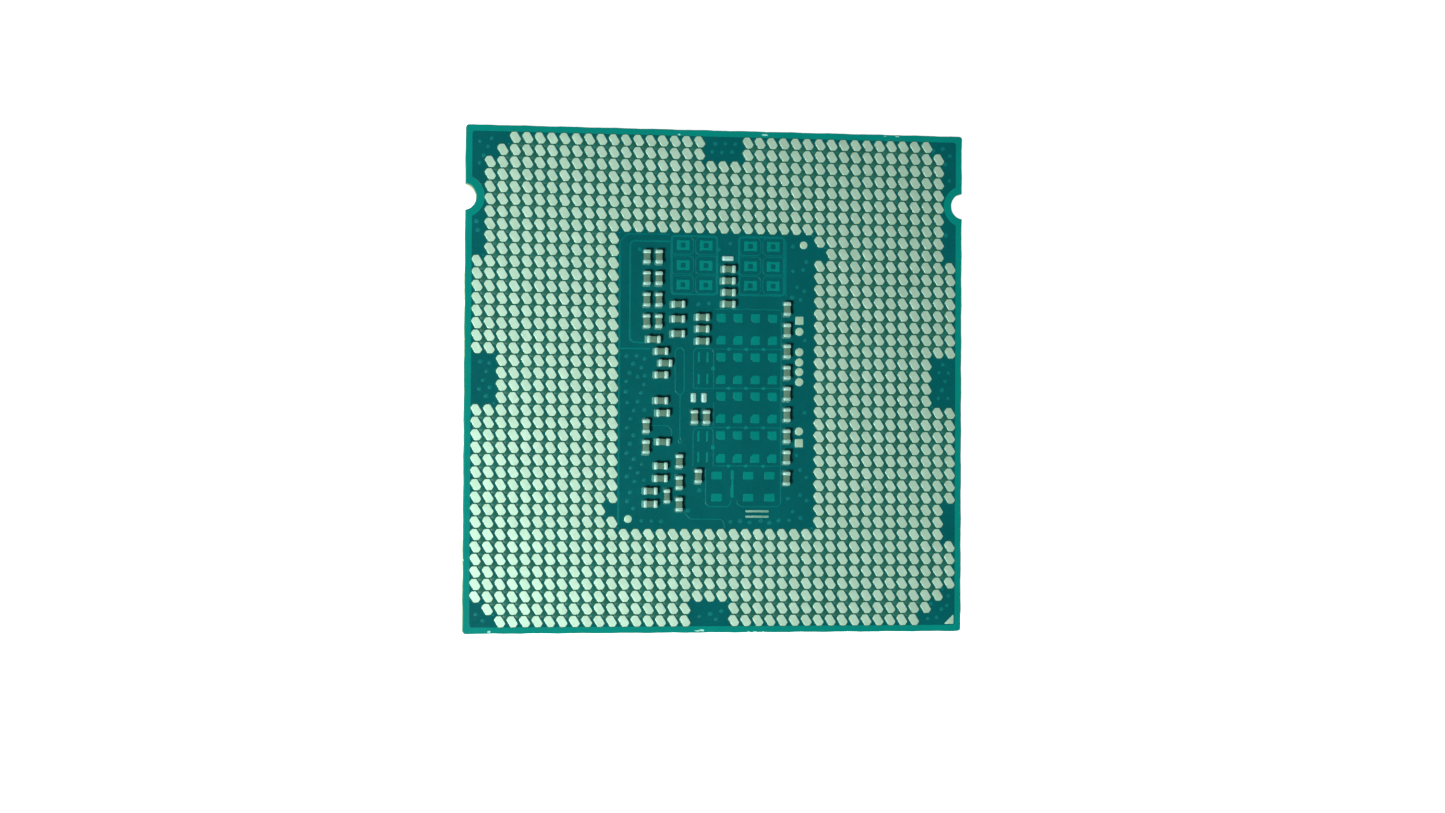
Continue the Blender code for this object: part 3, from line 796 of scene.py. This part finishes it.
# via dots: low domes of mask over the plated holes
VIAS_OPEN = (
    # edge gaps and corners
    (0.57, 17.75), (17.23, 17.75), (-16.82, 17.73), (-0.18, 17.73), (1.32, 17.73), (-17.68, 17.50), (17.77, 17.23),
    (16.50, 17.60), (17.44, 16.60), (17.75, 15.35), (17.50, 11.20), (1.10, 17.15), (-17.08, 17.12), (-0.40, 17.12), (0.32, 17.10), (-17.70, 15.90), (-17.40, 16.45),
    (-17.55, 1.27), (-16.88, 1.18), (17.02, 0.80), (17.73, 0.77), (-17.10, 0.55), (17.48, 0.15), (-17.35, -0.10),
    (17.23, -0.52), (-16.85, -0.62), (-17.60, -0.73), (16.95, -1.15), (17.70, -1.15), (-17.10, -1.25), (17.30, 1.40),
    (17.67, -16.77), (17.25, -17.05), (0.45, -17.12), (-17.73, -17.27), (-0.38, -17.33), (-1.18, -17.50), (16.88, -17.67),
    (16.20, -17.75), (16.45, -16.62), (17.78, -16.05), (-17.23, -17.73), (0.05, -17.73), (-17.90, 11.60), (-17.80, 10.95),
    # window, left part
    (-6.00, 1.82), (-6.75, 1.80), (-5.40, 1.60), (-6.25, 1.23), (-5.62, 0.95), (-6.52, 0.55), (-5.38, 0.35), (-5.90, 0.27),
    (-6.75, -0.07), (-5.43, -0.30), (-6.80, -0.85), (-5.65, -0.93), (-5.90, -1.57), (-6.65, -1.65), (-5.38, -2.18),
    (-6.18, -2.23), (-6.43, -2.85), (-6.68, -3.52), (-6.20, -4.07), (-6.45, -4.70), (-6.70, -5.38), (-6.15, -5.82),
    (-5.57, -6.23), (-6.40, -6.50), (-5.85, -6.85), (-6.68, -7.12), (-5.40, -7.40), (-6.10, -7.50), (-6.43, -8.30),
    (-6.65, -8.95), (-6.18, -9.48), (-5.57, -10.42), (-4.82, -10.42), (-4.10, -10.45), (-5.80, 9.75),
    # window, middle and right part
    (-1.38, 5.72), (-0.60, 5.78), (0.98, 10.28), (0.12, 9.80), (5.75, 10.15), (6.77, 9.00), (6.52, 8.38), (5.77, 8.30), (6.07, 7.10),
    (6.62, 6.80), (5.68, 6.30), (6.35, 6.15), (6.70, 3.12), (6.68, -2.32), (6.10, -5.50), (6.38, -6.60), (6.85, -7.15),
    (6.38, -8.48), (5.45, -8.75), (6.88, -8.88), (5.80, -9.73), (6.40, -10.18), (5.55, -10.35), (4.75, -10.38),
    (-2.10, -9.65), (-1.25, -8.15), (1.12, -10.48), (1.85, -10.42), (2.55, -10.52), (3.40, -10.40), (4.05, -10.55),
)
vias = Builder()


def dome(x, y, r, up):
    start = rng.uniform(0, 30)
    vias.loft([
        (arc(x, y, r, start, start + 330, 11), MASK_Z - 0.003),
        (arc(x, y, r * 0.86, start, start + 330, 11), MASK_Z + up * 0.5),
        (arc(x, y, r * 0.58, start, start + 330, 11), MASK_Z + up * 0.88),
        (arc(x, y, r * 0.25, start, start + 330, 11), MASK_Z + up),
    ])


for x, y in VIAS_OPEN:
    dome(x, y, rng.uniform(0.14, 0.18), 0.010)
# vias in the gaps between lands
for row in range(1, 40):
    for column in range(1, 40):
        around = [has_land(row + a, column + b) for a in (0, 1) for b in (0, 1)]
        if sum(around) >= 3 and rng.random() < 0.42:
            x, y = (column - 20) * PITCH, (20 - row) * PITCH
            dome(x + rng.uniform(-0.06, 0.02), y + rng.uniform(-0.03, 0.05), rng.uniform(0.07, 0.10), 0.008)
piece = vias.build("via_dots", [MASK_VIA], 70)
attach(piece, "root")

# generic ink mark: two plain bars
ink = Builder()
for cy in (-9.70, -10.10):
    ink.loft([
        (rounded_rect(0.88, 0.085, 0.06, 3, (3.10, cy)), MASK_Z - 0.002),
        (rounded_rect(0.87, 0.075, 0.055, 3, (3.10, cy)), MASK_Z + 0.005),
    ])
piece = ink.build("ink_mark", [INK], 60)
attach(piece, "root")

# ================================================================== bare gold pads and dots
gold_pads, pad_lips = Builder(), Builder()
GOLD_DOTS = (
    (6.25, 3.75, 0.30), (6.25, 2.22, 0.30), (6.25, 1.45, 0.30), (6.25, 0.73, 0.30), (6.25, -0.02, 0.30),
    (6.25, -3.72, 0.30), (6.55, 10.25, 0.28), (-6.58, -10.28, 0.28),
)
for x, y, r in GOLD_DOTS:
    gold_pads.loft([
        (arc(x, y, r, 0, 350, 35), MASK_Z - 0.004), (arc(x, y, r, 0, 350, 35), MASK_Z + 0.014),
        (arc(x, y, r - 0.012, 0, 350, 35), MASK_Z + 0.019), (arc(x, y, r - 0.035, 0, 350, 35), MASK_Z + 0.020),
    ])
    pad_lips.loft([
        (arc(x, y, r + 0.07, 0, 350, 35), MASK_Z - 0.003), (arc(x, y, r + 0.055, 0, 350, 35), MASK_Z + 0.006),
        (arc(x, y, r + 0.02, 0, 350, 35), MASK_Z + 0.008),
    ])
for x, y in ((6.25, 4.58), (6.25, -4.60)):
    square = rounded_rect(0.30, 0.30, 0.07, 5, (x, y))
    gold_pads.loft([
        (square, MASK_Z - 0.004), (square, MASK_Z + 0.014),
        (offset(square, -0.012), MASK_Z + 0.019), (offset(square, -0.035), MASK_Z + 0.020),
    ])
    pad_lips.loft([
        (offset(square, 0.07), MASK_Z - 0.003), (offset(square, 0.055), MASK_Z + 0.006),
        (offset(square, 0.02), MASK_Z + 0.008),
    ])
piece = gold_pads.build("gold_test_pads", [GOLD_PAD], 50)
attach(piece, "root")
piece = pad_lips.build("test_pad_mask_lips", [MASK_LINE], 50)
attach(piece, "root")

marker = Builder()
c, leg = 18.17, 0.74
triangle = fillet_polygon([(c - leg, -c), (c, -c), (c, -c + leg)], (0.035, 0.05, 0.035), 4)
marker.loft([
    (triangle, MASK_Z - 0.004), (triangle, MASK_Z + 0.016),
    (offset(triangle, -0.008), MASK_Z + 0.021), (offset(triangle, -0.025), MASK_Z + 0.023),
])
piece = marker.build("pin_one_triangle", [GOLD], 50)
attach(piece, "root")
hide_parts("pin_one_marker")

# solder lumps left on pads that carry no part
lumps = Builder()


def lump(x, y, hx, hy, height):
    levels = []
    for k in range(8):
        a = math.radians(90.0 * k / 7)
        grow = min(hx, hy) * 0.92 * (1.0 - math.cos(math.radians(90.0 * (k / 7) ** 1.4)))
        outline = rounded_rect(hx - grow, hy - grow, max(0.02, min(hx, hy) * 0.55 - grow * 0.5), 5, (x, y))
        levels.append((outline, MASK_Z - 0.004 + (height + 0.004) * math.sin(a)))
    lumps.loft(levels)


lump(0.80, 9.15, 0.44, 0.19, 0.17)
lump(-1.74, -1.26, 0.21, 0.36, 0.14)
lump(-0.95, -1.26, 0.21, 0.36, 0.14)
piece = lumps.build("solder_lumps", [SOLDER_PAD], 60)
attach(piece, "root")


# ================================================================== capacitors
def section(hw, z0, z1, r, steps=3):
    """Rounded cross-section as (across, up) points, counter-clockwise seen along +length."""
    r = min(r, hw * 0.9, (z1 - z0) * 0.45)
    points = []
    for sx, zc, start in ((1, z0 + r, -90), (1, z1 - r, 0), (-1, z1 - r, 90), (-1, z0 + r, 180)):
        points += arc(sx * (hw - r), zc, r, start, start + 90, steps)
    return points


def capacitor(number, node):
    low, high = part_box(node)
    low, high = [v / MM for v in low], [v / MM for v in high]
    cx, cy = (low[0] + high[0]) / 2, (low[1] + high[1]) / 2
    along_x = high[0] - low[0] > high[1] - low[1]
    length = max(high[0] - low[0], high[1] - low[1])
    width = min(high[0] - low[0], high[1] - low[1])
    z0, z1 = low[2], high[2]
    half, hw = length / 2, width / 2 * rng.uniform(0.97, 1.0)
    turn = math.radians(rng.uniform(-1.2, 1.2))
    cos, sin = math.cos(turn), math.sin(turn)
    band = (0.27 + rng.uniform(-0.02, 0.025), 0.27 + rng.uniform(-0.02, 0.025))
    b = Builder()

    def place(along, across, up):
        u, v = along * cos - across * sin, along * sin + across * cos
        return (cx + u, cy + v, up) if along_x else (cx - v, cy + u, up)

    def run(stations, slot):
        rings = []
        for along, inset, r in stations:
            rings.append([place(along, a, up) for a, up in section(hw - inset, z0 + inset * 0.6, z1 - inset, r)])
        b.loft3(rings, slot)

    # ceramic brick, a touch crowned and lower than its end bands
    inner_half = half - 0.12
    run([
        (-inner_half, 0.042, 0.04), (-inner_half * 0.5, 0.036, 0.045), (0.0, 0.034, 0.045),
        (inner_half * 0.5, 0.036, 0.045), (inner_half, 0.042, 0.04),
    ], 0)
    # end bands: rounded nose, full section, thin lip where the tin wraps on to the ceramic
    for sign, wrap in ((-1, band[0]), (1, band[1])):
        profile = [
            (half, 0.085, 0.07), (half - 0.012, 0.050, 0.07), (half - 0.036, 0.020, 0.06), (half - 0.075, 0.004, 0.055),
            (half - 0.13, 0.0, 0.05), (half - wrap + 0.05, 0.002, 0.05), (half - wrap + 0.012, 0.010, 0.045), (half - wrap, 0.034, 0.04),
        ]
        stations = [(sign * a, inset, r) for a, inset, r in profile]
        run(stations if sign < 0 else stations[::-1], 1)
    # solder fillets: concave skirts from the pad up the end and a little up the sides
    for sign, wrap in ((-1, band[0]), (1, band[1])):
        reach = rng.uniform(0.06, 0.11)
        side = rng.uniform(0.015, 0.035)
        climb = rng.uniform(0.24, 0.34)
        levels = []
        for k in range(7):
            t = k / 6
            flare = (1 - t) ** 3.0
            outer, inward = half + reach * flare - 0.010 * t, half - wrap + 0.02 - 0.03 * flare
            across = hw + side * flare - 0.012 * t
            mid, hx = (outer + inward) / 2, (outer - inward) / 2
            up = z0 - 0.012 + (climb + 0.012) * t ** 1.15
            outline = rounded_rect(hx, across, min(0.06 + 0.07 * flare, hx * 0.6), 4, (sign * mid, 0.0))
            levels.append([place(p, q, up) for p, q in outline])
        b.loft3(levels, 2)
    piece = b.build("capacitor_%02d" % number, [CERAMIC, TIN, SOLDER], 42)
    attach(piece, "root")
    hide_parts(node)


caps = sorted(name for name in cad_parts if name.startswith("land_side_capacitor_"))
for number, node in enumerate(caps, 1):
    capacitor(number, node)

# ================================================================== chips along the sawn edge
chips = Builder()


def chip(x, y, w, h, seed):
    """Small flake missing from the mask: a low ragged facet of bare laminate."""
    local = random.Random(seed)
    outline = []
    for k in range(12):
        a = 2 * math.pi * k / 12
        wobble = local.uniform(0.65, 1.1)
        outline.append((
            max(-HALF + 0.03, min(HALF - 0.03, x + w * wobble * math.cos(a))),
            max(-HALF + 0.03, min(HALF - 0.03, y + h * wobble * math.sin(a))),
        ))
    chips.loft([
        (outline, RIM_Z - 0.010),
        (outline, RIM_Z + 0.002),
        ([(x + (p - x) * 0.7, y + (q - y) * 0.7) for p, q in outline], RIM_Z + 0.005),
    ])


chip(-16.78, -18.58, 0.13, 0.10, 1)
chip(-1.34, -18.58, 0.24, 0.05, 2)
chip(-0.98, -18.55, 0.17, 0.09, 3)
chip(-1.12, -18.52, 0.10, 0.06, 4)
chip(2.50, -18.66, 0.14, 0.03, 5)
chip(2.98, -18.66, 0.16, 0.035, 6)
chip(3.60, -18.66, 0.12, 0.03, 7)
chip(-18.69, -13.30, 0.03, 0.12, 8)
chip(-2.90, 18.34, 0.13, 0.06, 9)
chip(3.55, 18.47, 0.26, 0.07, 10)
chip(13.70, 18.60, 0.18, 0.03, 11)
chip(12.75, 18.62, 0.12, 0.025, 12)
piece = chips.build("mask_edge_chips", [CHIPPED], 60)
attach(piece, "root")

# ================================================================== heat spreader
lid = Builder()
PLATEAU = (13.5, 14.3, 1.6)
FLANGE = (14.5, 15.5, 2.2)
FLANGE_Z = 1.85
EDGE, ROOT, FLANGE_EDGE = 0.35, 0.20, 0.12
ROOF_Z, WINDOW_HALF, WINDOW_R = 2.17, 10.0, 1.5


def plateau(grow):
    return rounded_rect(PLATEAU[0] + grow, PLATEAU[1] + grow, PLATEAU[2] + grow, 14)


def flange(inset):
    hx, hy = FLANGE[0] - inset, FLANGE[1] - inset
    wx, wy = 16.0 - inset, 8.5 - inset
    r, rw, rc = FLANGE[2] - inset, 0.9 - inset, 0.52 + inset
    p = arc(hx - r, -hy + r, r, -90, 0, 14)
    p += arc(hx + rc, -wy - rc, rc, 180, 90, 8)
    p += arc(wx - rw, -wy + rw, rw, -90, 0, 10)
    p += arc(wx - rw, wy - rw, rw, 0, 90, 10)
    p += arc(hx + rc, wy + rc, rc, 270, 180, 8)
    p += arc(hx - r, hy - r, r, 0, 90, 14)
    p += arc(-hx + r, hy - r, r, 90, 180, 14)
    p += arc(-hx - rc, wy + rc, rc, 0, -90, 8)
    p += arc(-wx + rw, wy - rw, rw, 90, 180, 10)
    p += arc(-wx + rw, -wy + rw, rw, 180, 270, 10)
    p += arc(-hx - rc, -wy - rc, rc, 90, 0, 8)
    p += arc(-hx + r, -hy + r, r, 180, 270, 14)
    return p


rings = []
for k in range(7):
    a = math.radians(15.0 * k)
    rings.append((plateau(-EDGE * (1 - math.sin(a))), EDGE * (1 - math.cos(a))))
for k in range(7):
    a = math.radians(15.0 * k)
    rings.append((plateau(ROOT * (1 - math.cos(a))), FLANGE_Z - ROOT + ROOT * math.sin(a)))
count = len(rings[0][0])
base = lid.loft(rings, 0, True, False)
root_loop = [base + (len(rings) - 1) * count + i for i in range(count)]
rings = []
for k in range(5):
    a = math.radians(22.5 * k)
    rings.append((flange(FLANGE_EDGE * (1 - math.sin(a))), FLANGE_Z + FLANGE_EDGE * (1 - math.cos(a))))
for k in range(5):
    a = math.radians(22.5 * (4 - k))
    rings.append((flange(FLANGE_EDGE * (1 - math.sin(a))), LID_TOP - FLANGE_EDGE * (1 - math.cos(a))))
count = len(rings[0][0])
base = lid.loft(rings, 0, False, False)
flange_low = [base + i for i in range(count)]
flange_top = [base + (len(rings) - 1) * count + i for i in range(count)]
lid.annulus(flange_low, root_loop, False)
# window on the inner side, walls going down to the roof
rings = []
for inset, z in ((0.0, LID_TOP), (0.0, ROOF_Z + 0.25), (0.03, ROOF_Z + 0.13), (0.09, ROOF_Z + 0.05), (0.25, ROOF_Z)):
    rings.append((rounded_rect(WINDOW_HALF - inset, WINDOW_HALF - inset, WINDOW_R - inset, 10), z))
count = len(rings[0][0])
base = len(lid.verts)
for outline, z in rings:
    lid.verts.extend((x, y, z) for x, y in outline)
for level in range(len(rings) - 1):
    a, b = base + level * count, base + (level + 1) * count
    for i in range(count):
        j = (i + 1) % count
        lid.face([a + j, a + i, b + i, b + j][::-1])
window_loop = [base + i for i in range(count)]
lid.face([base + (len(rings) - 1) * count + i for i in range(count)])
lid.annulus(flange_top, window_loop, True)
piece = lid.build("lid_plated", [NICKEL], 28)
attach(piece, "root")
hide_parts("heat_spreader")

# ================================================================== sealant bead
bead = Builder()


def bead_outline(w, seed=0.0):
    hx, hy, r, g = 13.3, 14.3, 2.0, 1.5
    points = []

    def path(side, wave):
        out = [(-g, hy + side)]
        legs = ((-1, 1, 90), (-1, -1, 180), (1, -1, 270), (1, 1, 360))
        for sx, sy, start in legs:
            out += arc(sx * (hx - r), sy * (hy - r), r + side, start, start + 90, 8)
        out.append((g, hy + side))
        dense = []
        for k in range(len(out) - 1):
            p, q = out[k], out[k + 1]
            run = math.hypot(q[0] - p[0], q[1] - p[1])
            pieces = max(1, int(run / 0.5))
            for m in range(pieces):
                dense.append((p[0] + (q[0] - p[0]) * m / pieces, p[1] + (q[1] - p[1]) * m / pieces))
        dense.append(out[-1])
        waved, t = [], 0.0
        for k, (x, y) in enumerate(dense):
            if k:
                t += math.hypot(x - dense[k - 1][0], y - dense[k - 1][1])
            d = wave * (math.sin(t * 0.9 + seed) + 0.6 * math.sin(t * 2.3 + 1.3) + 0.4 * math.sin(t * 5.1)) / 2
            l = math.hypot(x, y) or 1.0
            waved.append((x + x / l * d, y + y / l * d))
        return waved

    outer, inner_path = path(w, 0.10), path(-w, 0.12)[::-1]
    points = outer + arc(g, hy, w, 90, 270, 8)[1:-1] + inner_path + arc(-g, hy, w, -90, 90, 8)[1:-1]
    return points


bead.loft([
    (bead_outline(0.88), LID_TOP - 0.002), (bead_outline(0.95), LID_TOP + 0.025), (bead_outline(0.985), LID_TOP + 0.06),
    (bead_outline(0.95), SUB_Z0 - 0.025), (bead_outline(0.88), SUB_Z0 + 0.001),
])
piece = bead.build("sealant_bead", [SILICONE], 50)
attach(piece, "root")
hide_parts("lid_sealant")

# ================================================================== carried-over inner nodes
for node, mat in (
    ("thermal_interface", COMPOUND), ("silicon_die", SILICON), ("die_underfill", FILLET), ("die_bump_layer", BUMP_LAYER),
):
    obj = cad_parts[node]
    if not obj.material_slots:
        obj.data.materials.append(mat)
    for slot_ in obj.material_slots:
        slot_.material = mat

# gold corner mark on the lid side of the substrate
mark = Builder()
tri = fillet_polygon([(c - 1.1, -c + 0.15), (c - 0.15, -c + 0.15), (c - 0.15, -c + 1.1)], (0.04, 0.06, 0.04), 4)
mark.loft([(tri, SUB_Z0 - 0.012), (tri, SUB_Z0 + 0.002)])
piece = mark.build("lid_side_corner_mark", [GOLD_PAD], 50)
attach(piece, "root")

# ================================================================== stage, light, camera
floor_mesh = bpy.data.meshes.new("floor")
reach = 1.5
floor_mesh.from_pydata(
    [(-reach, -reach, -0.00002), (reach, -reach, -0.00002), (reach, reach, -0.00002), (-reach, reach, -0.00002)],
    [], [(0, 1, 2, 3)],
)
floor = bpy.data.objects.new("floor", floor_mesh)
bpy.context.scene.collection.objects.link(floor)
paper = bpy.data.materials.new("floor_paper")
paper.use_nodes = True
shader = paper.node_tree.nodes["Principled BSDF"]
shader.inputs["Base Color"].default_value = (0.85, 0.85, 0.85, 1.0)
shader.inputs["Roughness"].default_value = 0.9
shader.inputs["Specular IOR Level"].default_value = 0.0
shader.inputs["Emission Color"].default_value = (1.0, 1.0, 1.0, 1.0)
shader.inputs["Emission Strength"].default_value = 0.93
floor_mesh.materials.append(paper)

world = bpy.data.worlds.new("studio")
bpy.context.scene.world = world
world.use_nodes = True
tree = world.node_tree
tree.nodes.clear()
coord = tree.nodes.new("ShaderNodeTexCoord")
split = tree.nodes.new("ShaderNodeSeparateXYZ")
ramp = tree.nodes.new("ShaderNodeValToRGB")
sky = tree.nodes.new("ShaderNodeBackground")
out = tree.nodes.new("ShaderNodeOutputWorld")
tree.links.new(coord.outputs["Generated"], split.inputs["Vector"])
tree.links.new(split.outputs["Z"], ramp.inputs["Fac"])
stops = ((0.07, 1.0), (0.22, 0.30), (0.50, 0.10))
ramp.color_ramp.elements.new(0.5)
for index, (position, value) in enumerate(stops):
    ramp.color_ramp.elements[index].position = position
    ramp.color_ramp.elements[index].color = (value, value, value, 1.0)
tree.links.new(ramp.outputs["Color"], sky.inputs["Color"])
sky.inputs["Strength"].default_value = 1.0
tree.links.new(sky.outputs["Background"], out.inputs["Surface"])


def softbox(name, at, size, power, tint, aim=(0.0, 0.0, 4.2)):
    light = bpy.data.lights.new(name, "AREA")
    light.shape = "DISK"
    light.size = size * MM
    light.energy = power
    light.color = tint
    obj = bpy.data.objects.new(name, light)
    bpy.context.scene.collection.objects.link(obj)
    position = Vector(at) * MM
    obj.location = position
    obj.rotation_euler = (Vector(aim) * MM - position).to_track_quat("-Z", "Y").to_euler()
    return obj


softbox("key", (-122.0, -81.0, 207.0), 60.0, 0.685, (0.97, 1.0, 0.99))

# main view: 58.9 mm lens on a 36 mm sensor, 174 mm above the lands, from slightly left
camera_data = bpy.data.cameras.new("camera")
camera_data.sensor_width = 36.0
camera_data.lens = 58.91
camera_data.clip_start = 0.01
camera_data.clip_end = 10.0
camera = bpy.data.objects.new("camera", camera_data)
bpy.context.scene.collection.objects.link(camera)
camera.matrix_world = Matrix((
    (0.988838, -0.008101, -0.148776, -25.7715 * MM),
    (0.005112, 0.999778, -0.020462, -5.5052 * MM),
    (0.148908, 0.019473, 0.988659, (174.251 + 4.26) * MM),
    (0.0, 0.0, 0.0, 1.0),
))
bpy.context.scene.camera = camera
bpy.context.scene.view_settings.view_transform = "Standard"
